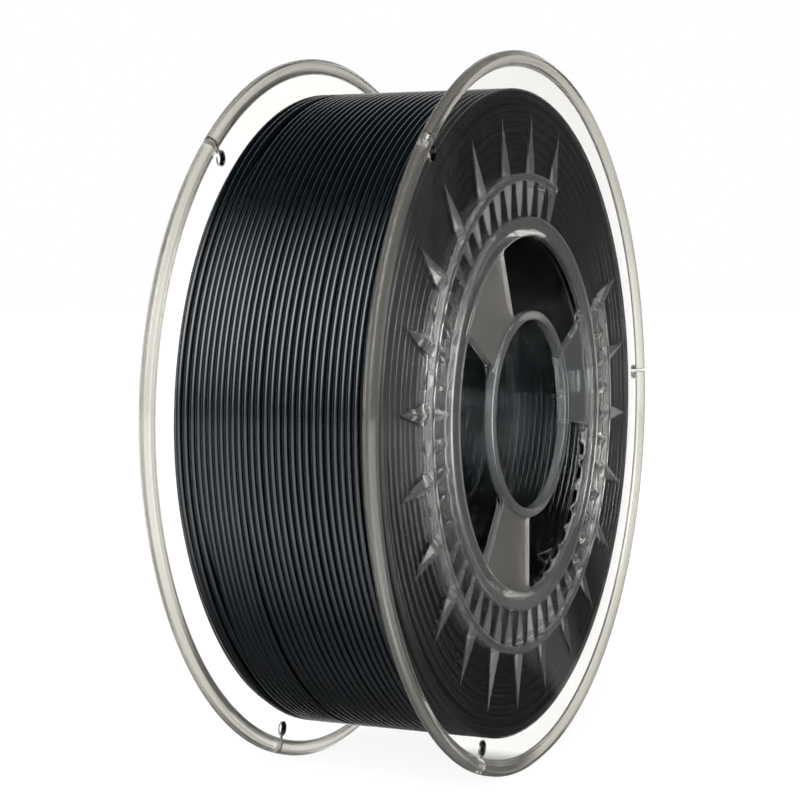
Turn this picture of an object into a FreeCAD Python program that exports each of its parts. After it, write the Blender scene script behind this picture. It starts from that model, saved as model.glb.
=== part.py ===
"""A full filament spool: two clear mouldings that snap together round a wound coil.

The spool's axis is Y and its centre is the origin. The flange that faces the viewer is at -Y.
Both halves come from one mould: the rear one is the front one turned over about its first spoke.
A half is drawn with that spoke along +X, and its placement turns it to where it stands.
"""
import FreeCAD, Part
import math
import os
import PartDesign
import Sketcher

from FreeCAD import Placement, Rotation, Vector

SIZES = [
    ("flange_radius", 100.0, "outer radius of both flanges"),
    ("winding_width", 59.2, "clear width between the two flanges"),
    ("disc_wall", 1.6, "thickness of a flange's flat disc"),
    ("rim_depth", 4.1, "radial depth of the rim's bead"),
    ("rim_wall", 3.6, "thickness of the rim's bead along the axis"),
    ("rim_lip", 0.3, "how far the bead stands out on the coil's side"),
    ("rim_bevel", 1.2, "bevel that rounds the bead's edges"),
    ("drum_bore", 49.4, "inner radius of the drum that carries the coil"),
    ("drum_wall", 2.0, "wall of the drum"),
    ("band_width", 5.2, "radial width of the raised band round the drum's mouth"),
    ("band_rise", 2.1, "height of the band over the disc"),
    ("bore_radius", 26.25, "radius of the bore that goes on a holder"),
    ("tube_wall", 2.4, "wall of the hub tube"),
    ("tube_rise", 2.45, "height of the hub tube's end over the disc"),
    ("seam_gap", 0.1, "distance from the middle plane to each half's seam"),
    ("spoke_wall", 2.0, "thickness of a spoke"),
    ("spoke_sink", 0.7, "depth of a spoke's face under the band's face"),
    ("spoke_root", 18.0, "width of a spoke at the hub tube"),
    ("spoke_end", 32.6, "width of a spoke at the drum"),
    ("spoke_corner", 2.0, "rounding in the corners of a spoke"),
    ("spoke_angle", 11.9, "angle of the first spoke over the horizontal"),
    ("rib_count", 43.0, "wedge ribs round the band, an odd number"),
    ("rib_pitch", 7.5, "angle between two ribs"),
    ("rib_start", 15.0, "angle of the first rib from the first spoke"),
    ("rib_root", 1.6, "width of a rib at the band"),
    ("rib_end", 5.2, "width of a rib at the ridge"),
    ("rib_height", 1.6, "height of a rib over the disc"),
    ("rib_bed", 0.4, "how deep a rib is rooted in the disc"),
    ("ridge_radius", 66.5, "outer radius of the ridge that ends the ribs"),
    ("ridge_width", 1.9, "radial width of the ridge"),
    ("ridge_rise", 1.8, "height of the ridge over the disc"),
    ("spike_radius", 83.7, "radius of a spike's tip"),
    ("spike_width", 6.2, "width of a spike at the ridge"),
    ("spike_height", 1.5, "height of a spike at the ridge"),
    ("key_radius", 93.0, "radius of the holes that take the coil's end"),
    ("key_turn", -7.1, "angle of the first such hole from the first spoke"),
    ("key_bore", 2.0, "radius of such a hole"),
    ("key_slit", 0.8, "width of the slit from such a hole to the rim's edge"),
    ("finger_width", 6.4, "width of a snap finger"),
    ("finger_wall", 1.7, "thickness of a snap finger"),
    ("finger_gap", 0.35, "clearance round a snap finger"),
    ("hook_height", 1.6, "how far a finger's hook stands out"),
    ("hook_length", 2.0, "length of the hook along the axis"),
    ("hook_tip", 0.8, "length of the hook's flat top"),
    ("catch_wall", 2.4, "drum wall between a hook's window and the flange's inner face"),
    ("anchor_width", 5.8, "width of the three-cornered hole where the coil starts"),
    ("anchor_length", 3.6, "length of that hole along the axis"),
    ("anchor_wall", 0.4, "drum wall between that hole and the flange's inner face"),
    ("anchor_angle", -71.4, "angle of that hole from the first spoke"),
    ("wire_size", 1.75, "diameter of the filament"),
    ("coil_radius", 90.0, "outer radius of the coil"),
    ("coil_gap", 0.2, "clearance from the coil to the drum, the flanges and its outer layer"),
    ("groove_count", 11.0, "grooves on each side of the coil, one for every two layers"),
    ("groove_depth", 0.9, "depth of these grooves"),
    ("turn_count", 23.0, "turns drawn in the outer layer"),
    ("turn_bend", 2.0, "radius of the bends at the two ends of the outer layer"),
]
VALUE = {name: value for name, value, meaning in SIZES}

INSIDE = "(sizes.winding_width / 2)"
DISC = "(sizes.winding_width / 2 + sizes.disc_wall)"
RIM_BACK = "(sizes.winding_width / 2 - sizes.rim_lip)"
RIM = "(%s + sizes.rim_wall)" % RIM_BACK
BAND = "(sizes.winding_width / 2 + sizes.disc_wall + sizes.band_rise)"
RIDGE = "(sizes.winding_width / 2 + sizes.disc_wall + sizes.ridge_rise)"
SPOKE = "(sizes.winding_width / 2 + sizes.disc_wall + sizes.band_rise - sizes.spoke_sink)"
RIM_FOOT = "(sizes.flange_radius - sizes.rim_depth)"
BAND_RADIUS = "(sizes.drum_bore + sizes.band_width)"
RIDGE_FOOT = "(sizes.ridge_radius - sizes.ridge_width)"
DRUM = "(sizes.drum_bore + sizes.drum_wall)"
TUBE = "(sizes.bore_radius + sizes.tube_wall)"
FINGER = "(sqrt(sizes.drum_bore^2 - (sizes.finger_width + sizes.finger_gap)^2) - sizes.finger_gap)"
CATCH = "(sizes.winding_width / 2 - sizes.catch_wall)"
RIB_SWEEP = "((sizes.rib_count - 1) * sizes.rib_pitch)"


def make_sheet(doc):
    """Put every driving size in a sheet, each under its own name."""
    sheet = doc.addObject("Spreadsheet::Sheet", "sizes")
    for row, (name, value, meaning) in enumerate(SIZES, start=1):
        sheet.set("A%d" % row, name)
        sheet.set("B%d" % row, str(value))
        sheet.set("C%d" % row, meaning)
        sheet.setAlias("B%d" % row, name)
    doc.recompute()


def origin_feature(body, role):
    """Find one of a body's own origin planes or axes."""
    return [feature for feature in body.Origin.OriginFeatures if feature.Role == role][0]


def sketch_on(body, name, role, offset="0"):
    """Start a sketch on an origin plane, moved along its normal by a size from the sheet."""
    sketch = body.newObject("Sketcher::SketchObject", name)
    sketch.AttachmentSupport = [(origin_feature(body, role), "")]
    sketch.MapMode = "FlatFace"
    sketch.setExpression(".AttachmentOffset.Base.z", offset)
    return sketch


def sketch_across(body, name, radius, angle):
    """Start a sketch that looks outward from the spool's axis, at a radius and angle from the sheet."""
    sketch = sketch_on(body, name, "YZ_Plane", "%s * cos(%s)" % (radius, angle))
    sketch.AttachmentOffset = Placement(Vector(), Rotation(Vector(1, 0, 0), 1.0))
    sketch.setExpression(".AttachmentOffset.Base.y", "%s * sin(%s)" % (radius, angle))
    sketch.setExpression(".AttachmentOffset.Rotation.Angle", "-(%s)" % angle)
    return sketch


def hold(sketch, kind, geometry, end, size):
    """Keep one coordinate of a point, or a radius, at a size worked out from the sheet."""
    held = sketch.addConstraint(Sketcher.Constraint(kind, -1, 1, geometry, end, 1.0))
    sketch.setExpression("Constraints[%d]" % held, size)


def outline(sketch, corners):
    """Draw a closed outline whose corners stand at places worked out from the sheet."""
    count = len(corners)
    turn = 2 * math.pi / count
    start = [Vector(2 + math.cos(turn * i), 2 + math.sin(turn * i), 0) for i in range(count)]
    for i in range(count):
        sketch.addGeometry(Part.LineSegment(start[i], start[(i + 1) % count]), False)
    for i in range(count):
        sketch.addConstraint(Sketcher.Constraint("Coincident", i, 2, (i + 1) % count, 1))
    for i, (across, up) in enumerate(corners):
        hold(sketch, "DistanceX", i, 1, across)
        hold(sketch, "DistanceY", i, 1, up)


def revolve(body, name, sketch, angle="360"):
    """Turn an outline round the spool's axis."""
    turned = body.newObject("PartDesign::Revolution", name)
    turned.Profile = sketch
    turned.ReferenceAxis = (sketch, ["V_Axis"])
    turned.setExpression("Angle", angle)
    return turned


def extrude(body, kind, name, sketch, length, reverse=False):
    """Pad or pocket an outline by a length from the sheet."""
    made = body.newObject("PartDesign::" + kind, name)
    made.Profile = sketch
    made.setExpression("Length", length)
    made.Reversed = reverse
    return made


def around(body, name, features, count, angle="360"):
    """Repeat features round the spool's axis."""
    pattern = body.newObject("PartDesign::PolarPattern", name)
    pattern.Originals = features
    pattern.Axis = (origin_feature(body, "Y_Axis"), [""])
    pattern.setExpression("Angle", angle)
    pattern.setExpression("Occurrences", count)
    body.Tip = pattern
    return pattern


def loft(body, name, sketches):
    """Join outlines by straight faces."""
    made = body.newObject("PartDesign::AdditiveLoft", name)
    made.Profile = sketches[0]
    made.Sections = sketches[1:]
    made.Ruled = True
    return made


def soften(body, name, feature, wanted, size):
    """Round the edges that a test picks out."""
    body.Document.recompute()
    edges = ["Edge%d" % i for i, edge in enumerate(feature.Shape.Edges, start=1) if wanted(edge)]
    made = body.newObject("PartDesign::Fillet", name)
    made.Base = (feature, edges)
    made.setExpression("Radius", size)
    return made


def add_shell(body):
    """The drum, the band, the disc and the rim, turned from one outline."""
    sketch = sketch_on(body, "shell_outline", "XY_Plane")
    outline(sketch, [
        ("sizes.drum_bore", "-sizes.seam_gap"),
        ("sizes.drum_bore", "-" + BAND),
        (BAND_RADIUS, "-" + BAND),
        (BAND_RADIUS, "-" + DISC),
        (RIM_FOOT, "-" + DISC),
        (RIM_FOOT, "-(%s - sizes.rim_bevel)" % RIM),
        ("%s + sizes.rim_bevel" % RIM_FOOT, "-" + RIM),
        ("sizes.flange_radius - sizes.rim_bevel", "-" + RIM),
        ("sizes.flange_radius", "-(%s - sizes.rim_bevel)" % RIM),
        ("sizes.flange_radius", "-(%s + sizes.rim_bevel)" % RIM_BACK),
        ("sizes.flange_radius - sizes.rim_bevel", "-" + RIM_BACK),
        ("%s + sizes.rim_bevel" % RIM_FOOT, "-" + RIM_BACK),
        (RIM_FOOT, "-" + INSIDE),
        (DRUM, "-" + INSIDE),
        (DRUM, "-sizes.seam_gap"),
    ])
    revolve(body, "shell", sketch)


def add_hub(body):
    """The hub tube and the three spokes that join it to the drum."""
    sketch = sketch_on(body, "spoke_outline", "XZ_Plane", SPOKE)
    in_tube = "(sizes.bore_radius + sizes.tube_wall / 2)"
    in_drum = "(sizes.drum_bore + sizes.drum_wall / 2)"
    root = "sqrt(%s^2 - (sizes.spoke_root / 2)^2)" % in_tube
    end = "sqrt(sizes.drum_bore^2 - (sizes.spoke_end / 2)^2) + sizes.drum_wall / 2"
    outline(sketch, [
        (root, "-sizes.spoke_root / 2"),
        (end, "-sizes.spoke_end / 2"),
        (in_drum, "-sizes.spoke_end / 4"),
        (in_drum, "sizes.spoke_end / 4"),
        (end, "sizes.spoke_end / 2"),
        (root, "sizes.spoke_root / 2"),
        (in_tube, "sizes.spoke_root / 5"),
        (in_tube, "-sizes.spoke_root / 5"),
    ])
    spoke = extrude(body, "Pad", "spoke", sketch, "sizes.spoke_wall", reverse=True)
    around(body, "spokes", [spoke], "3")

    sketch = sketch_on(body, "tube_outline", "XY_Plane")
    outline(sketch, [
        ("sizes.bore_radius", "-sizes.seam_gap"),
        ("sizes.bore_radius", "-(%s + sizes.tube_rise)" % DISC),
        (TUBE, "-(%s + sizes.tube_rise)" % DISC),
        (TUBE, "-sizes.seam_gap"),
    ])
    tube = revolve(body, "tube", sketch)

    def in_spoke_corner(edge):
        upright = abs(edge.BoundBox.YLength - VALUE["spoke_wall"]) < 0.01
        return upright and edge.Length < VALUE["spoke_wall"] + 0.01

    soften(body, "spoke_rounding", tube, in_spoke_corner, "sizes.spoke_corner")


def gable(body, name, radius, half_width, rise):
    """Draw the three-cornered section of a rib, rooted in the disc."""
    sketch = sketch_across(body, name, radius, "sizes.rib_start")
    root = "-(%s - sizes.rib_bed)" % DISC
    outline(sketch, [
        (root, "-(%s)" % half_width),
        (root, half_width),
        ("-(%s + %s)" % (DISC, rise), "0"),
    ])
    return sketch


def add_ribs(body):
    """Wedge ribs between the band and a ridge, and spikes that run on from every second rib."""
    sketch = sketch_on(body, "ridge_outline", "XY_Plane")
    sketch.AttachmentOffset = Placement(Vector(), Rotation(Vector(0, 1, 0), 1.0))
    sketch.setExpression(".AttachmentOffset.Rotation.Angle", "-sizes.rib_start")
    outline(sketch, [
        (RIDGE_FOOT, "-(%s - sizes.rib_bed)" % DISC),
        (RIDGE_FOOT, "-" + RIDGE),
        ("sizes.ridge_radius", "-" + RIDGE),
        ("sizes.ridge_radius", "-(%s - sizes.rib_bed)" % DISC),
    ])
    revolve(body, "ridge", sketch, RIB_SWEEP)

    fall = "(sizes.rib_end / 2 / sizes.rib_height)"
    root_height = "(sizes.rib_root / 2 / %s)" % fall
    rib = loft(body, "rib", [
        gable(body, "rib_root_outline", "(%s - sizes.band_width / 4)" % BAND_RADIUS,
              "%s * (%s + sizes.rib_bed)" % (fall, root_height), root_height),
        gable(body, "rib_end_outline", "(%s + sizes.ridge_width / 2)" % RIDGE_FOOT,
              "%s * (sizes.rib_height + sizes.rib_bed)" % fall, "sizes.rib_height"),
    ])
    around(body, "ribs", [rib], "sizes.rib_count", RIB_SWEEP)

    lean = "(sizes.spike_width / 2 / sizes.spike_height)"
    spike = loft(body, "spike", [
        gable(body, "spike_root_outline", "(sizes.ridge_radius - sizes.ridge_width / 4)",
              "%s * (sizes.spike_height + sizes.rib_bed)" % lean, "sizes.spike_height"),
        gable(body, "spike_tip_outline", "sizes.spike_radius", "%s * sizes.rib_bed" % lean, "0"),
    ])
    around(body, "spikes", [spike], "(sizes.rib_count + 1) / 2", RIB_SWEEP)


def pocket_keyhole(body, name, angle):
    """A hole near the rim, with a slit that lets the coil's end slip in, at an angle from the sheet."""
    over = "(%s + sizes.rim_wall)" % RIM
    depth = "3 * sizes.rim_wall"
    made = []
    for kind in ("hole", "slit"):
        sketch = sketch_on(body, "%s_%s_outline" % (name, kind), "XZ_Plane", over)
        sketch.AttachmentOffset = Placement(Vector(), Rotation(Vector(0, 0, 1), 1.0))
        sketch.setExpression(".AttachmentOffset.Rotation.Angle", angle)
        if kind == "hole":
            sketch.addGeometry(Part.Circle(Vector(1, 0, 0), Vector(0, 0, 1), 1.0), False)
            held = sketch.addConstraint(Sketcher.Constraint("Radius", 0, 1.0))
            sketch.setExpression("Constraints[%d]" % held, "sizes.key_bore")
            hold(sketch, "DistanceX", 0, 3, "sizes.key_radius")
            hold(sketch, "DistanceY", 0, 3, "0")
        else:
            outline(sketch, [
                ("sizes.key_radius", "-sizes.key_slit / 2"),
                ("sizes.flange_radius + sizes.rim_depth", "-sizes.key_slit / 2"),
                ("sizes.flange_radius + sizes.rim_depth", "sizes.key_slit / 2"),
                ("sizes.key_radius", "sizes.key_slit / 2"),
            ])
        made.append(extrude(body, "Pocket", "%s_%s" % (name, kind), sketch, depth))
    return made


def add_keyholes(body):
    """Three holes with slits: one a little off the first spoke, and two in line with the others."""
    pocket_keyhole(body, "first", "sizes.key_turn")
    pair = pocket_keyhole(body, "second", "-120")
    around(body, "keyholes", pair, "2", "120")


def add_catches(body):
    """Windows in the drum that the other half's hooks snap into, and the hole where the coil starts."""
    sketch = sketch_on(body, "window_outline", "XY_Plane")
    near = "-(%s - sizes.hook_length - 2 * sizes.finger_gap)" % CATCH
    outline(sketch, [
        ("sizes.drum_bore - sizes.drum_wall", "-" + CATCH),
        ("%s + sizes.drum_wall" % DRUM, "-" + CATCH),
        ("%s + sizes.drum_wall" % DRUM, near),
        ("sizes.drum_bore - sizes.drum_wall", near),
    ])
    window = extrude(body, "Pocket", "window", sketch, "sizes.finger_width + 2 * sizes.finger_gap")
    around(body, "windows", [window], "3")

    sketch = sketch_across(body, "anchor_outline", "(sizes.drum_bore - sizes.drum_wall)",
                           "sizes.anchor_angle")
    outline(sketch, [
        ("-(%s - sizes.anchor_wall)" % INSIDE, "-sizes.anchor_width / 2"),
        ("-(%s - sizes.anchor_wall - sizes.anchor_length)" % INSIDE, "0"),
        ("-(%s - sizes.anchor_wall)" % INSIDE, "sizes.anchor_width / 2"),
    ])
    extrude(body, "Pocket", "anchor", sketch, "3 * sizes.drum_wall", reverse=True)


def add_fingers(body):
    """Snap fingers that run inside the drum, each with a hook for the other half's window."""
    root = "(%s - sizes.spoke_wall / 2)" % SPOKE
    tip = "(%s - sizes.finger_gap)" % CATCH
    sketch = sketch_on(body, "finger_outline", "XZ_Plane", root)
    outline(sketch, [
        ("%s - sizes.finger_wall" % FINGER, "sizes.finger_gap"),
        (FINGER, "sizes.finger_gap"),
        (FINGER, "sizes.finger_gap + sizes.finger_width"),
        ("%s - sizes.finger_wall" % FINGER, "sizes.finger_gap + sizes.finger_width"),
    ])
    finger = extrude(body, "Pad", "finger", sketch, "%s + %s" % (root, tip), reverse=True)

    sketch = sketch_on(body, "hook_outline", "XY_Plane", "sizes.finger_gap")
    heel = "%s - sizes.hook_length" % tip
    outline(sketch, [
        ("%s - sizes.finger_wall / 2" % FINGER, heel),
        ("%s + sizes.hook_height" % FINGER, heel),
        ("%s + sizes.hook_height" % FINGER, "%s + sizes.hook_tip" % heel),
        (FINGER, tip),
        ("%s - sizes.finger_wall / 2" % FINGER, tip),
    ])
    hook = extrude(body, "Pad", "hook", sketch, "sizes.finger_width")
    around(body, "fingers", [finger, hook], "3")


def make_half(doc):
    """The front moulding: flange, drum half, hub half, spokes, ribs and snap fingers."""
    body = doc.addObject("PartDesign::Body", "front_half")
    body.Label = "front_half"
    add_shell(body)
    add_hub(body)
    add_ribs(body)
    add_keyholes(body)
    add_catches(body)
    add_fingers(body)
    body.Placement = Placement(Vector(), Rotation(Vector(0, -1, 0), VALUE["spoke_angle"]))
    return body


def make_twin(doc, half):
    """The rear moulding: a second one from the same mould, turned over about the first spoke."""
    body = doc.addObject("PartDesign::Body", "rear_half")
    body.Label = "rear_half"
    twin = body.newObject("PartDesign::FeatureBase", "twin")
    twin.BaseFeature = half
    turned_over = Rotation(Vector(1, 0, 0), 180.0)
    twin.Placement = Placement(Vector(), half.Placement.Rotation.multiply(turned_over))
    body.Tip = twin
    return body


def make_core(doc):
    """The wound filament under its outer layer, as one ring with grooves between the side turns."""
    body = doc.addObject("PartDesign::Body", "filament_core")
    body.Label = "filament_core"
    sketch = sketch_on(body, "core_outline", "XY_Plane")
    end = "(%s - sizes.coil_gap)" % INSIDE
    inner = "%s + sizes.coil_gap" % DRUM
    outer = "sizes.coil_radius - sizes.wire_size - sizes.coil_gap"
    halves = int(2 * VALUE["groove_count"])
    across = ["%s + (%s - %s) * %d / (2 * sizes.groove_count)" % (inner, outer, "(%s)" % inner, i)
              for i in range(halves + 1)]
    depth = ["(%s - sizes.groove_depth * %d)" % (end, i % 2) for i in range(halves + 1)]
    corners = [(across[i], "-" + depth[i]) for i in range(halves + 1)]
    corners += [(across[i], depth[i]) for i in reversed(range(halves + 1))]
    outline(sketch, corners)
    revolve(body, "core", sketch)
    return body


def biarc(start, start_way, end, end_way):
    """Join two points by two arcs that touch both directions and each other."""
    across = end - start
    both = start_way + end_way
    spread = 2 * (1 - start_way.dot(end_way))
    along = across.dot(both)
    reach = (math.sqrt(along * along + spread * across.dot(across)) - along) / spread
    meet = (start + end + (start_way - end_way) * reach) * 0.5
    first = touching_arc(start, start_way, meet)
    second = touching_arc(end, end_way * -1.0, meet)
    return [first, second]


def touching_arc(start, way, end):
    """Draw the arc that leaves a point in one direction and reaches another point."""
    chord = end - start
    side = (chord - way * chord.dot(way)).normalize()
    radius = chord.dot(chord) / (2 * chord.dot(side))
    centre = start + side * radius
    middle = ((start + end) * 0.5 - centre).normalize()
    return Part.Arc(start, centre + middle * radius, end).toShape()


def layer_route():
    """The centre line of the outer layer: off one flange, round and round, and back to the other."""
    radius = VALUE["coil_radius"] - VALUE["wire_size"] / 2
    bend = VALUE["turn_bend"]
    face = VALUE["winding_width"] / 2 - VALUE["coil_gap"]
    reach = face - VALUE["wire_size"] - bend
    turns = VALUE["turn_count"]
    sweep = 2 * math.pi * turns
    climb = 2 * reach / sweep
    slope = math.hypot(radius, climb)

    def place(angle):
        return Vector(radius * math.cos(angle), climb * angle - reach, radius * math.sin(angle))

    def way(angle):
        return Vector(-radius * math.sin(angle), climb, radius * math.cos(angle)) * (1 / slope)

    first = place(0) - way(0) * bend - Vector(0, bend, 0)
    last = place(sweep) + way(sweep) * bend + Vector(0, bend, 0)
    straight = Vector(0, VALUE["wire_size"], 0)
    axis = Vector(0, 1, 0)
    edges = [Part.LineSegment(first - straight, first).toShape()]
    edges += biarc(first, axis, place(0), way(0))
    quarters = int(4 * turns)
    for i in range(quarters):
        start = sweep * i / quarters
        end = sweep * (i + 1) / quarters
        edges += biarc(place(start), way(start), place(end), way(end))
    edges += biarc(place(sweep), way(sweep), last, axis)
    edges.append(Part.LineSegment(last, last + straight).toShape())
    return Part.Wire(edges)


def least_gap(route, size):
    """Measure on points how near a tube along a route comes to itself, half a turn or more further on."""
    step = 1.0
    points = []
    for edge in route.Edges:
        points += edge.discretize(max(2, int(edge.Length / step)))[:-1]
    apart = int(math.pi * VALUE["coil_radius"] / step)
    cell = 4.0
    grid = {}
    for i, point in enumerate(points):
        key = (int(point.x // cell), int(point.y // cell), int(point.z // cell))
        grid.setdefault(key, []).append(i)
    least = 1e9
    for (a, b, c), here in grid.items():
        near = [i for da in (-1, 0, 1) for db in (-1, 0, 1) for dc in (-1, 0, 1)
                for i in grid.get((a + da, b + db, c + dc), [])]
        for i in here:
            for j in near:
                if j - i > apart:
                    least = min(least, points[i].distanceToPoint(points[j]))
    return least - size


def make_layer(doc):
    """The outer layer of the coil, one unbroken strand, square on edge so that its facets stay few."""
    route = layer_route()
    size = VALUE["wire_size"]
    start = route.Edges[0].Vertexes[0].Point
    outward = Vector(size / 2, 0, 0)
    sideways = Vector(0, 0, size / 2)
    corners = [start + outward, start + sideways, start - outward, start - sideways]
    section = Part.makePolygon(corners + corners[:1])
    tube = route.makePipeShell([section], True, False)
    layer = doc.addObject("Part::Feature", "filament_outer_layer")
    layer.Label = "filament_outer_layer"
    layer.Shape = tube
    layer.Placement = Placement(Vector(), Rotation())
    gap = least_gap(route, size)
    print("outer layer: %d turns, least gap to itself %.2f mm" % (VALUE["turn_count"], gap))
    print("outer layer: volume %.0f, section times length %.0f"
          % (tube.Volume, size * size / 2 * route.Length))
    return layer


def main():
    doc = FreeCAD.newDocument("filament_spool")
    make_sheet(doc)
    half = make_half(doc)
    pieces = [half, make_twin(doc, half), make_core(doc), make_layer(doc)]
    doc.recompute()
    for item in doc.Objects:
        if "Invalid" in item.State or "Error" in item.State:
            raise RuntimeError("%s failed to build: %s" % (item.Label, item.State))
    for piece in pieces:
        if piece.Shape.isNull() or not piece.Shape.isValid():
            raise RuntimeError("%s has no valid shape" % piece.Label)
    os.makedirs("parts", exist_ok=True)
    for piece in pieces:
        piece.Shape.exportStep(os.path.join("parts", piece.Label + ".step"))
        print("%s: %d solid(s), %.1f cubic cm"
              % (piece.Label, len(piece.Shape.Solids), piece.Shape.Volume / 1000))


main()
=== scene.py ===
"""A full filament spool: two clear polystyrene mouldings round a coil of glossy black filament.

The spool's axis is Y, its middle is the origin, and the flange at -Y faces the viewer.
Angles round the axis start at +X and turn towards +Z. Lengths are in millimetres until they
are handed to Blender, which gets metres.
"""

import math
import random

import bpy
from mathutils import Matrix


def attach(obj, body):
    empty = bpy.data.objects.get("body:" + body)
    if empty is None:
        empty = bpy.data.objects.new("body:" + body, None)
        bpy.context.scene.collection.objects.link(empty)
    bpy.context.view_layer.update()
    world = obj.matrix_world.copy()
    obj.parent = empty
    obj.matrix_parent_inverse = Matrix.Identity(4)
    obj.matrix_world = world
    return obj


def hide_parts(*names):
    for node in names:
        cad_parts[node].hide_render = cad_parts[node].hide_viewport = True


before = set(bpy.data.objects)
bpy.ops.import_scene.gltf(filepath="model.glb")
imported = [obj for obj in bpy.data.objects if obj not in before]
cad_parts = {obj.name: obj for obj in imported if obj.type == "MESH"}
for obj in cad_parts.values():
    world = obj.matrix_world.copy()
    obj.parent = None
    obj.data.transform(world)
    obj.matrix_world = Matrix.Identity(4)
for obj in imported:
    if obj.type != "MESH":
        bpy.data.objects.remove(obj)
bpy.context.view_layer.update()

MM = 0.001
STRAND = 1.75          # filament diameter
COIL_RADIUS = 90.0     # outside of the coil
FLANGE_GAP = 59.2      # clear width between the flanges
DRUM_RADIUS = 51.4     # outside of the drum that the coil lies on
FLOOR_LEVEL = -100.0   # the spool stands on its rims
FLOOR_REACH = 6000.0   # how far the floor goes on each side

# The outer layer, from the rear flange to the front one, as numbers of turns and their spacing:
# loose at the rear, tight next to that, and evenly spaced at the front.
TURN_GROUPS = [(2, 2.02), (8, 1.68), (9, 1.88), (11, 1.92)]
REAR_GAP = 1.6         # the outer layer ends this far from the rear flange
OUTER_LAYER_RADIUS = COIL_RADIUS - STRAND / 2 - 0.15     # to the strand's middle, as the next two
LAYER_BELOW_RADIUS = COIL_RADIUS - STRAND * 1.5 - 0.35
FIRST_LAYER_RADIUS = DRUM_RADIUS + STRAND / 2 + 0.08
FIRST_LAYER_TURNS, FIRST_LAYER_PITCH, FIRST_LAYER_START = 32, 1.83, 28.3
SIDE_RINGS = 23        # layers whose last turns show through a flange
SIDE_RING_STEPS = 150
FILL_GROOVES, GROOVE_DEPTH, FILL_STEPS = 30, 0.3, 96

# How far the strand leaves a perfect winding: the whole layer's radius, one turn's radius, and
# one turn's place along the axis, in a layer and on the coil's side.
LAYER_WOBBLE, TURN_SWELL, TURN_STRAY, SIDE_STRAY = 0.10, 0.035, 0.05, 0.16

DIE_PATCH = 1 / 0.35   # the filament's gloss comes and goes in patches of 2.9 mm
FLOW_PATCH = 1 / 0.06  # the moulding's flow marks are 17 mm across
EDGE_ROUND = 0.7       # how far the moulding's edges are rounded, in the shading

BACKDROP = (0.60, 0.80, 0.0)           # towards the white wall behind the spool
SOFT_BOX = (-0.788, -0.287, 0.545)     # towards the large soft box, high at the left
LIT_SIDE = (-0.707, -0.707, 0.0)       # towards the floor's painted pool of light from the soft box
WALL = 1.38            # the wall is over-exposed, so it stays white through the discs
DIM = 0.025            # what the rest of the room gives beside it
BOX_LIGHT = 9.0        # how bright the soft box is at its middle
LIT_FLOOR = 2.7        # how bright the floor's painted pool of light from the soft box is
FLOOR_WHITE = 1.15     # the floor's own white, as the camera sees it
FLOOR_SHARE = 0.78     # how much of the floor is that white; the rest is card, which takes shadow


def linear(hex_colour):
    """Turn an sRGB hex value into the linear colour that shaders take."""
    parts = [int(hex_colour[i:i + 2], 16) / 255 for i in (1, 3, 5)]
    return tuple(c / 12.92 if c <= 0.04045 else ((c + 0.055) / 1.055) ** 2.4
                 for c in parts) + (1.0,)


def add(tree, kind, inputs=(), stops=(), **settings):
    """Add a node with its settings by name, its inputs, each linked to a socket or set to a
    value, and the stops of its ramp, each a place and a level."""
    made = tree.nodes.new(kind)
    for name, value in settings.items():
        if hasattr(made, name):
            setattr(made, name, value)
        else:
            made.inputs[name.replace("_", " ")].default_value = value
    for socket, value in dict(inputs).items():
        if isinstance(value, bpy.types.NodeSocket):
            tree.links.new(value, made.inputs[socket])
        else:
            made.inputs[socket].default_value = value
    for i, (place, level) in enumerate(stops):
        marks = made.color_ramp.elements
        mark = marks[i] if i < 2 else marks.new(place)
        mark.position = place
        mark.color = (level, level, level, 1.0)
    return made


def new_material(name):
    """Start a node material and return it with its tree and its surface socket."""
    material = bpy.data.materials.new(name)
    material.use_nodes = True
    tree = material.node_tree
    tree.nodes.clear()
    output = tree.nodes.new("ShaderNodeOutputMaterial")
    return material, tree, output.inputs["Surface"]


def set_camera():
    """The camera stands at the left of the spool, a little above its axis, 627 mm away."""
    data = bpy.data.cameras.new("camera")
    data.lens = 99.27
    data.sensor_width = 36.0
    data.clip_end = 50.0
    camera = bpy.data.objects.new("camera", data)
    camera.location = (-0.5691, -0.2596, 0.0406)
    camera.rotation_euler = (math.radians(90 - 3.437), 0, math.radians(-64.904))
    bpy.context.scene.collection.objects.link(camera)
    bpy.context.scene.camera = camera


def place(name, vertices, faces, smooth=True):
    """Make a piece of the coil from vertices in millimetres, and let it ride on the spool."""
    mesh = bpy.data.meshes.new(name)
    mesh.from_pydata([tuple(c * MM for c in v) for v in vertices], [], faces)
    mesh.validate()
    for face in mesh.polygons:
        face.use_smooth = smooth
    piece = bpy.data.objects.new(name, mesh)
    piece.data.materials.append(filament)
    bpy.context.scene.collection.objects.link(piece)
    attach(piece, "root")
    return piece


def sweep_strand(route, sides, closed=False):
    """Give a wound strand its round section. The route has (angle, radius, y) for each point."""
    vertices, faces = [], []
    for angle, radius, y in route:
        for k in range(sides):
            turn = 2 * math.pi * k / sides
            r = radius + STRAND / 2 * math.cos(turn)
            vertices.append((r * math.cos(angle), y + STRAND / 2 * math.sin(turn),
                             r * math.sin(angle)))
    count = len(route)
    for i in range(count if closed else count - 1):
        here, there = i * sides, (i + 1) % count * sides
        for k in range(sides):
            after = (k + 1) % sides
            faces.append((here + k, there + k, there + after, here + after))
    if not closed:
        faces.append(tuple(range(sides)))
        faces.append(tuple((count - 1) * sides + k for k in reversed(range(sides))))
    return vertices, faces


def ease(value, start, end):
    """Go smoothly from 0 to 1 while the value goes from start to end."""
    t = min(max((value - start) / (end - start), 0.0), 1.0)
    return t * t * (3 - 2 * t)


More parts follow.
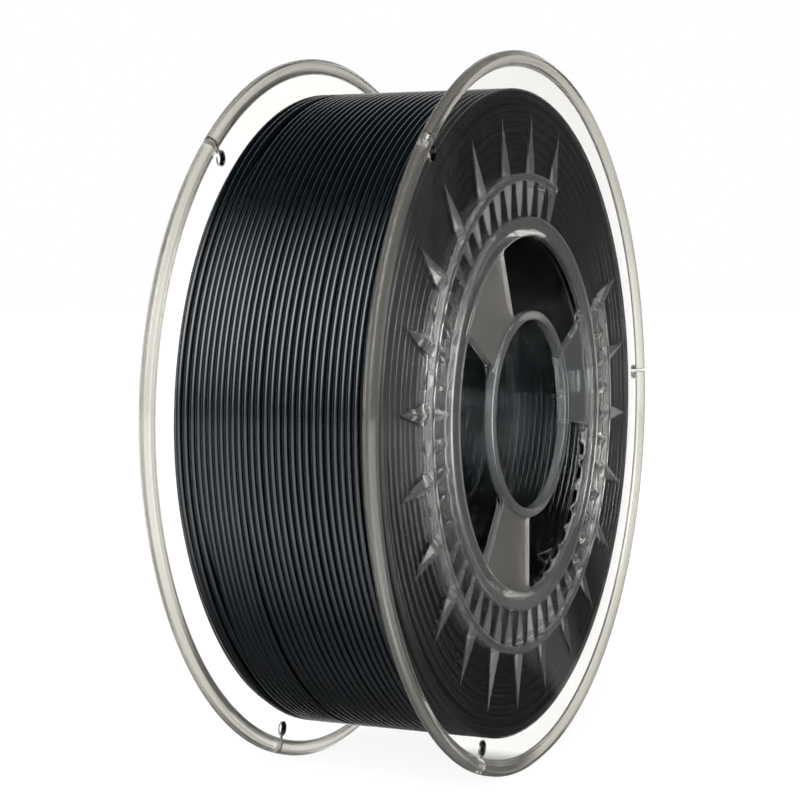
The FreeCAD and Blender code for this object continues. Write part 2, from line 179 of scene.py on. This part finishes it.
class Wander:
    """A slow seeded wobble round the spool, so that no turn is a perfect circle."""

    def __init__(self, seed, size, waves=(2, 3, 5, 8)):
        dice = random.Random(seed)
        self.parts = [(n, dice.uniform(0, 2 * math.pi),
                       size * dice.uniform(0.3, 1.0) / math.sqrt(n)) for n in waves]

    def __call__(self, angle):
        return sum(size * math.sin(n * angle + phase) for n, phase, size in self.parts)


def turn_places():
    """Where each turn of the outer layer lies along the axis, at the left of the spool."""
    dice = random.Random(7)
    pitches = [pitch for count, pitch in TURN_GROUPS for i in range(count)]
    end = (FLANGE_GAP - STRAND - 0.1) / 2
    loose = [pitch + dice.uniform(-0.12, 0.12) for pitch in pitches]
    scale = (2 * end - REAR_GAP) / sum(loose)
    places = [end - REAR_GAP]
    for pitch in loose:
        places.append(places[-1] - pitch * scale)
    return places


def turn_shift(y, degrees):
    """How far a turn strays along the axis where the photographed coil is uneven."""
    back = 1 - ease(degrees, 262, 330)
    shift = 0.0
    if 9.0 < y < 20.0:
        shift += 1.1 * ease(degrees, 185, 235) * back * (1 - 0.35 * ease(y, 14, 20))
    if 21.5 < y < 24.0:
        shift -= 1.0 * ease(degrees, 190, 230) * back
    if 26.0 < y < 28.0:
        shift -= 1.2 * ease(degrees, 190, 240) * back
    return shift


def turn_dip(y, degrees):
    """How far a turn sinks between its neighbours where it slips under them."""
    if 20.2 < y < 21.8:
        out = 1 - ease(degrees, 118, 140) + ease(degrees, 192, 214)
        return 1.5 * min(out, 1.0)
    return 0.0


def wind_layer(radius, places, seed, steps, sides, uneven=True):
    """Wind one continuous layer. Each turn lies level for most of the round and steps on to the
    next at the right, which the photograph doesn't show."""
    route = []
    wobble = Wander(seed, LAYER_WOBBLE)
    swell = [Wander(seed + 1 + i, TURN_SWELL) for i in range(len(places))]
    stray = [Wander(seed + 101 + i, TURN_STRAY) for i in range(len(places))]
    step_start, step_end = math.radians(-75), math.radians(75)
    round_end = step_end + 2 * math.pi
    limit = (FLANGE_GAP - STRAND) / 2 - 0.03
    for i, y in enumerate(places):
        following = places[i + 1] if i + 1 < len(places) else y
        for s in range(steps):
            angle = step_end + 2 * math.pi * s / steps
            degrees = math.degrees(angle) % 360
            level = 1 - ease(angle, round_end - (step_end - step_start), round_end)
            here = y * level + following * (1 - level)
            sink = 0.0
            if uneven:
                here += turn_shift(y, degrees)
                sink = turn_dip(y, degrees)
            here = max(-limit, min(limit, here + stray[i](angle)))
            route.append((angle, radius + wobble(angle) * 0.3 + swell[i](angle) - sink, here))
    return sweep_strand(route, sides)


def side_turns(side, seed):
    """The last turn of every layer, as the flange's clear disc shows them."""
    dice = random.Random(seed)
    first = DRUM_RADIUS + STRAND / 2 + 1.55
    last = COIL_RADIUS - STRAND / 2 - 1.5
    vertices, faces = [], []
    for i in range(SIDE_RINGS):
        radius = first + (last - first) * i / (SIDE_RINGS - 1)
        depth = (0.75 if i % 2 else 0.05) + dice.uniform(0, 0.35)
        wobble = Wander(seed + i, LAYER_WOBBLE)
        drift = Wander(seed + 50 + i, SIDE_STRAY)
        route = []
        for s in range(SIDE_RING_STEPS):
            angle = 2 * math.pi * s / SIDE_RING_STEPS
            inward = max(depth + drift(angle), 0.03)
            y = side * ((FLANGE_GAP - STRAND) / 2 - inward)
            route.append((angle, radius + wobble(angle), y))
        ring_vertices, ring_faces = sweep_strand(route, 10, closed=True)
        faces += [tuple(len(vertices) + k for k in face) for face in ring_faces]
        vertices += ring_vertices
    return vertices, faces


def coil_fill():
    """The buried part of the coil, turned with a shallow groove for every turn it carries."""
    end = FLANGE_GAP / 2 - STRAND - 0.35
    inner = DRUM_RADIUS + STRAND - 0.35
    outer = COIL_RADIUS - 2 * STRAND - 0.1
    outline = []
    for start, radius, groove in ((-end, outer, -GROOVE_DEPTH), (end, inner, GROOVE_DEPTH)):
        for i in range(FILL_GROOVES * 2 + 1):
            y = start - 2 * start * i / (FILL_GROOVES * 2)
            outline.append((radius + (groove if i % 2 else 0.0), y))
    angles = [2 * math.pi * s / FILL_STEPS for s in range(FILL_STEPS)]
    vertices = [(r * math.cos(angle), y, r * math.sin(angle)) for angle in angles
                for r, y in outline]
    count = len(outline)
    faces = [(s * count + k, s * count + (k + 1) % count,
              (s + 1) % FILL_STEPS * count + (k + 1) % count, (s + 1) % FILL_STEPS * count + k)
             for s in range(FILL_STEPS) for k in range(count)]
    return vertices, faces


def filament_material():
    """PETG filament, extruded: a deep black with a cool tone and a wet shine, whose gloss and
    tone come and go a little along the strand. Its shine is tinted cool, a painted cast on its
    reflections."""
    material, tree, surface = new_material("petg_extruded_filament")
    where = add(tree, "ShaderNodeTexCoord")
    fine = add(tree, "ShaderNodeTexNoise", {"Vector": where.outputs["Object"]},
               Scale=1 / (DIE_PATCH * MM), Detail=2.0).outputs["Fac"]
    rough = add(tree, "ShaderNodeMapRange", {"Value": fine},
                From_Min=0.35, From_Max=0.65, To_Min=0.13, To_Max=0.20)
    tone = add(tree, "ShaderNodeMix", {0: fine, 6: linear("#02070b"), 7: linear("#050a0e")},
               data_type="RGBA")
    # The shine's cool tint is a painted cast on the filament's reflections.
    shader = add(tree, "ShaderNodeBsdfPrincipled",
                 {"Base Color": tone.outputs[2], "Roughness": rough.outputs["Result"]},
                 IOR=1.57, Specular_Tint=linear("#f5faff"))
    tree.links.new(shader.outputs["BSDF"], surface)
    return material


def clear_material():
    """Crystal polystyrene, injection moulded: clear where the mould was polished, and a warm milky
    grey, rough, on the faces of the two spokes at the left and the left of the tube's ends; the
    spoke at the right stays clear. The rim's bead is hazy, with a warm grey tint that is painted
    shade for the light bent away inside its round section. The raised ribs have a slight haze, a
    painted sheen in place of the glints of their facets, and the parts inside the drum have a
    cooler, darker tint, painted shade that keeps the inside of the drum dark."""
    material, tree, surface = new_material("polystyrene_moulded_clear")
    where = add(tree, "ShaderNodeTexCoord").outputs["Object"]
    part = add(tree, "ShaderNodeSeparateXYZ", {0: where})
    across = add(tree, "ShaderNodeCombineXYZ", {"X": part.outputs["X"], "Z": part.outputs["Z"]})
    radius = add(tree, "ShaderNodeVectorMath", {0: across.outputs[0]}, operation="LENGTH")
    radius = radius.outputs["Value"]
    height = add(tree, "ShaderNodeMath", {0: part.outputs["Y"]}, operation="ABSOLUTE").outputs[0]
    shape = add(tree, "ShaderNodeNewGeometry")
    facing = add(tree, "ShaderNodeSeparateXYZ", {0: shape.outputs["True Normal"]})
    facing = add(tree, "ShaderNodeMath", {0: facing.outputs["Y"]}, operation="ABSOLUTE").outputs[0]

    # Each mask goes from 0 to 1, or from 1 to 0, where its value passes from one place to another.
    lines = {"bead": (radius, 95.6 * MM, 96.2 * MM, 0.0),
             "hub": (radius, 49.2 * MM, 49.5 * MM, 1.0),
             "pattern": (radius, 84.0 * MM, 84.5 * MM, 1.0),
             "level": (facing, 0.90, 0.96, 0.0),
             "raised": (height, 32.2 * MM, 32.5 * MM, 0.0),
             "proud": (height, 31.25 * MM, 31.4 * MM, 0.0),
             # The milky grey keeps to the left, and the spoke at the right stays clear.
             "left": (part.outputs["X"], 20.0 * MM, 22.0 * MM, 1.0)}
    masks = {name: add(tree, "ShaderNodeMapRange", {"Value": value}, From_Min=start, From_Max=end,
                       To_Min=before, To_Max=1.0 - before).outputs[0]
             for name, (value, start, end, before) in lines.items()}
    # The raised ribs and spikes get a slight haze that lifts them: a painted sheen in place of the
    # glints of their facets.
    for name, names in {"milky_at_left": ("level", "raised", "hub", "left"),
                        "rib_sheen_haze": ("proud", "pattern")}.items():
        both = masks[names[0]]
        for other in names[1:]:
            both = add(tree, "ShaderNodeMath", {0: both, 1: masks[other]},
                       operation="MULTIPLY").outputs[0]
        masks[name] = both

    # Each lies over the ones before it: the ribs' haze, which is a painted sheen, then the bead's
    # haze and the milky faces at the left.
    rough, passed, colour = 0.03, 1.0, linear("#fcfbf8")
    for name, roughness, clearness in (("rib_sheen_haze", 0.10, 0.93), ("bead", 0.11, 0.87),
                                       ("milky_at_left", 0.38, 0.91)):
        rough = add(tree, "ShaderNodeMix", {0: masks[name], 2: rough, 3: roughness}).outputs[0]
        passed = add(tree, "ShaderNodeMix", {0: masks[name], 2: passed, 3: clearness}).outputs[0]
    # The parts inside the drum get a cooler, darker tint, painted shade that keeps the inside of
    # the drum dark; the bead gets a warm grey, painted shade for the light bent away inside it; the
    # faces at the left get a warm milky grey.
    for name, tone in (("hub", "#e8edef"), ("bead", "#c2bfb6"), ("milky_at_left", "#e2ddd2")):
        colour = add(tree, "ShaderNodeMix", {0: masks[name], 6: colour, 7: linear(tone)},
                     data_type="RGBA").outputs[2]

    flow = add(tree, "ShaderNodeTexNoise", {"Vector": where}, Scale=1 / (FLOW_PATCH * MM),
               Detail=3.0)
    edges = add(tree, "ShaderNodeBevel", Radius=EDGE_ROUND * MM, samples=4)
    bump = add(tree, "ShaderNodeBump", {"Height": flow.outputs["Fac"], "Normal": edges.outputs[0]},
               Strength=0.08, Distance=0.6 * MM)
    shader = add(tree, "ShaderNodeBsdfPrincipled",
                 {"Normal": bump.outputs["Normal"], "Roughness": rough,
                  "Transmission Weight": passed, "Base Color": colour}, IOR=1.59)
    tree.links.new(shader.outputs["BSDF"], surface)
    return material


def backdrop_light(tree, towards):
    """How bright the wall is in a direction: full behind the spool, dark at the viewer's side."""
    turn = add(tree, "ShaderNodeVectorMath", {0: towards, 1: BACKDROP}, operation="DOT_PRODUCT")
    wall = add(tree, "ShaderNodeValToRGB", {0: turn.outputs["Value"]},
               stops=[(0.10, DIM), (0.15, 0.14), (0.20, 0.13), (0.235, 0.03), (0.34, 0.07),
                      (0.55, 0.45), (0.72, 1.0)])
    return add(tree, "ShaderNodeMath", {0: wall.outputs["Color"], 1: WALL},
               operation="MULTIPLY").outputs[0]


def mirrored_floor(tree):
    """What the spool mirrors of the floor, painted into the floor's glow: as bright as the wall
    behind the spool, a painted pool of light where the soft box at the left would light it, with
    a painted shadow at the spool's foot, and dim elsewhere."""
    where = add(tree, "ShaderNodeTexCoord")
    part = add(tree, "ShaderNodeSeparateXYZ", {0: where.outputs["Object"]})
    level = add(tree, "ShaderNodeCombineXYZ", {"X": part.outputs["X"], "Y": part.outputs["Y"]})
    far = add(tree, "ShaderNodeVectorMath", {0: level.outputs[0]}, operation="LENGTH")
    towards = add(tree, "ShaderNodeVectorMath", {0: level.outputs[0]}, operation="NORMALIZE")
    behind = backdrop_light(tree, towards.outputs[0])
    turn = add(tree, "ShaderNodeVectorMath", {0: towards.outputs[0], 1: LIT_SIDE},
               operation="DOT_PRODUCT")
    lit = add(tree, "ShaderNodeValToRGB", {0: turn.outputs["Value"]},
              stops=[(0.30, 0.01), (0.62, 0.6), (0.85, 1.0)])
    # Painted shadow: the spool keeps that light from the floor at its own foot.
    near = add(tree, "ShaderNodeValToRGB", {0: far.outputs["Value"]},
               stops=[(0.04, 0.05), (0.06, 0.11), (0.09, 0.16), (0.125, 0.55), (0.18, 1.0),
                      (0.80, 0.9)])
    lit = add(tree, "ShaderNodeMath", {0: lit.outputs["Color"], 1: near.outputs["Color"]},
              operation="MULTIPLY")
    lit = add(tree, "ShaderNodeMath", {0: lit.outputs[0], 1: LIT_FLOOR}, operation="MULTIPLY")
    # Right behind the flanges the floor glows as bright as the wall, painted light.
    right = add(tree, "ShaderNodeMapRange", {"Value": part.outputs["X"]},
                From_Min=0.0, From_Max=20.0 * MM)
    rear = add(tree, "ShaderNodeMapRange", {"Value": part.outputs["Y"]},
               From_Min=-34.0 * MM, From_Max=-30.0 * MM)
    beyond = add(tree, "ShaderNodeMath", {0: right.outputs[0], 1: rear.outputs[0]},
                 operation="MULTIPLY")
    beyond = add(tree, "ShaderNodeMath", {0: beyond.outputs[0], 1: WALL}, operation="MULTIPLY")
    brightest = add(tree, "ShaderNodeMath", {0: behind, 1: lit.outputs[0]}, operation="MAXIMUM")
    return add(tree, "ShaderNodeMath", {0: brightest.outputs[0], 1: beyond.outputs[0]},
               operation="MAXIMUM").outputs[0]


def lay_floor():
    """A plain white card floor that takes the spool's shadow. The camera sees most of it as an
    even white, and gloss and clear plastic see what mirrored_floor gives."""
    material, tree, surface = new_material("floor_white_card")
    path = add(tree, "ShaderNodeLightPath")
    share = add(tree, "ShaderNodeMath", {0: path.outputs["Is Camera Ray"], 1: FLOOR_SHARE},
                operation="MULTIPLY")
    for ray in ("Is Glossy Ray", "Is Transmission Ray"):
        share = add(tree, "ShaderNodeMath", {0: share.outputs[0], 1: path.outputs[ray]},
                    operation="MAXIMUM")
    glow = add(tree, "ShaderNodeMix", {0: path.outputs["Is Camera Ray"], 2: mirrored_floor(tree),
                                       3: FLOOR_WHITE})
    glow = add(tree, "ShaderNodeEmission", {"Strength": glow.outputs[0]}, Color=linear("#ffffff"))
    card = add(tree, "ShaderNodeBsdfDiffuse", Color=linear("#f5f4f2"))
    mixed = add(tree, "ShaderNodeMixShader",
                {0: share.outputs[0], 1: card.outputs[0], 2: glow.outputs[0]})
    tree.links.new(mixed.outputs[0], surface)

    size, level = FLOOR_REACH * MM, FLOOR_LEVEL * MM
    mesh = bpy.data.meshes.new("floor")
    mesh.from_pydata([(-size, -size, level), (size, -size, level), (size, size, level),
                      (-size, size, level)], [], [(0, 1, 2, 3)])
    mesh.materials.append(material)
    floor = bpy.data.objects.new("floor", mesh)
    bpy.context.scene.collection.objects.link(floor)


def light_room():
    """A dim studio with a white wall beyond the spool and one large soft box high at the left.
    The camera itself sees plain white."""
    world = bpy.data.worlds.new("studio")
    bpy.context.scene.world = world
    world.use_nodes = True
    tree = world.node_tree
    tree.nodes.clear()
    output = tree.nodes.new("ShaderNodeOutputWorld")
    towards = add(tree, "ShaderNodeTexCoord").outputs["Generated"]
    part = add(tree, "ShaderNodeSeparateXYZ", {0: towards})
    height = add(tree, "ShaderNodeValToRGB", {0: part.outputs["Z"]},
                 stops=[(0.0, 1.0), (0.63, 0.4), (0.87, 0.05)])
    wall = add(tree, "ShaderNodeMath",
               {0: backdrop_light(tree, towards), 1: height.outputs["Color"]}, operation="MULTIPLY")
    turn = add(tree, "ShaderNodeVectorMath", {0: towards, 1: SOFT_BOX}, operation="DOT_PRODUCT")
    box = add(tree, "ShaderNodeValToRGB", {0: turn.outputs["Value"]},
              stops=[(0.76, 0.0), (0.85, 0.22), (0.906, 0.50), (0.966, 0.82), (1.0, 1.0)])
    box = add(tree, "ShaderNodeMath", {0: box.outputs["Color"], 1: BOX_LIGHT},
              operation="MULTIPLY")
    both = add(tree, "ShaderNodeMath", {0: wall.outputs[0], 1: box.outputs[0]}, operation="ADD")
    path = add(tree, "ShaderNodeLightPath")
    level = add(tree, "ShaderNodeMix", {0: path.outputs["Is Camera Ray"], 2: both.outputs[0],
                                        3: 1.0})
    glow = add(tree, "ShaderNodeBackground", {"Strength": level.outputs[0]},
               Color=linear("#ffffff"))
    tree.links.new(glow.outputs[0], output.inputs["Surface"])


bpy.context.scene.view_settings.view_transform = "Standard"
set_camera()
filament = filament_material()
clear = clear_material()

for name in ("front_half", "rear_half"):
    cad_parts[name].material_slots[0].material = clear

outer_places = turn_places()
under_places = [(a + b) / 2 for a, b in zip(outer_places, outer_places[1:])]
first_places = [FIRST_LAYER_START - FIRST_LAYER_PITCH * i for i in range(FIRST_LAYER_TURNS)]
outer = place("outer_layer", *wind_layer(OUTER_LAYER_RADIUS, outer_places, 11, 180, 16))
place("layer_below", *wind_layer(LAYER_BELOW_RADIUS, under_places, 311, 120, 8))
place("first_layer", *wind_layer(FIRST_LAYER_RADIUS, first_places, 511, 120, 12, uneven=False))
place("front_side_turns", *side_turns(-1, 711))
place("rear_side_turns", *side_turns(1, 811))
fill = place("buried_turns", *coil_fill(), smooth=False)
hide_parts("filament_outer_layer")
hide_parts("filament_core")

lay_floor()
light_room()
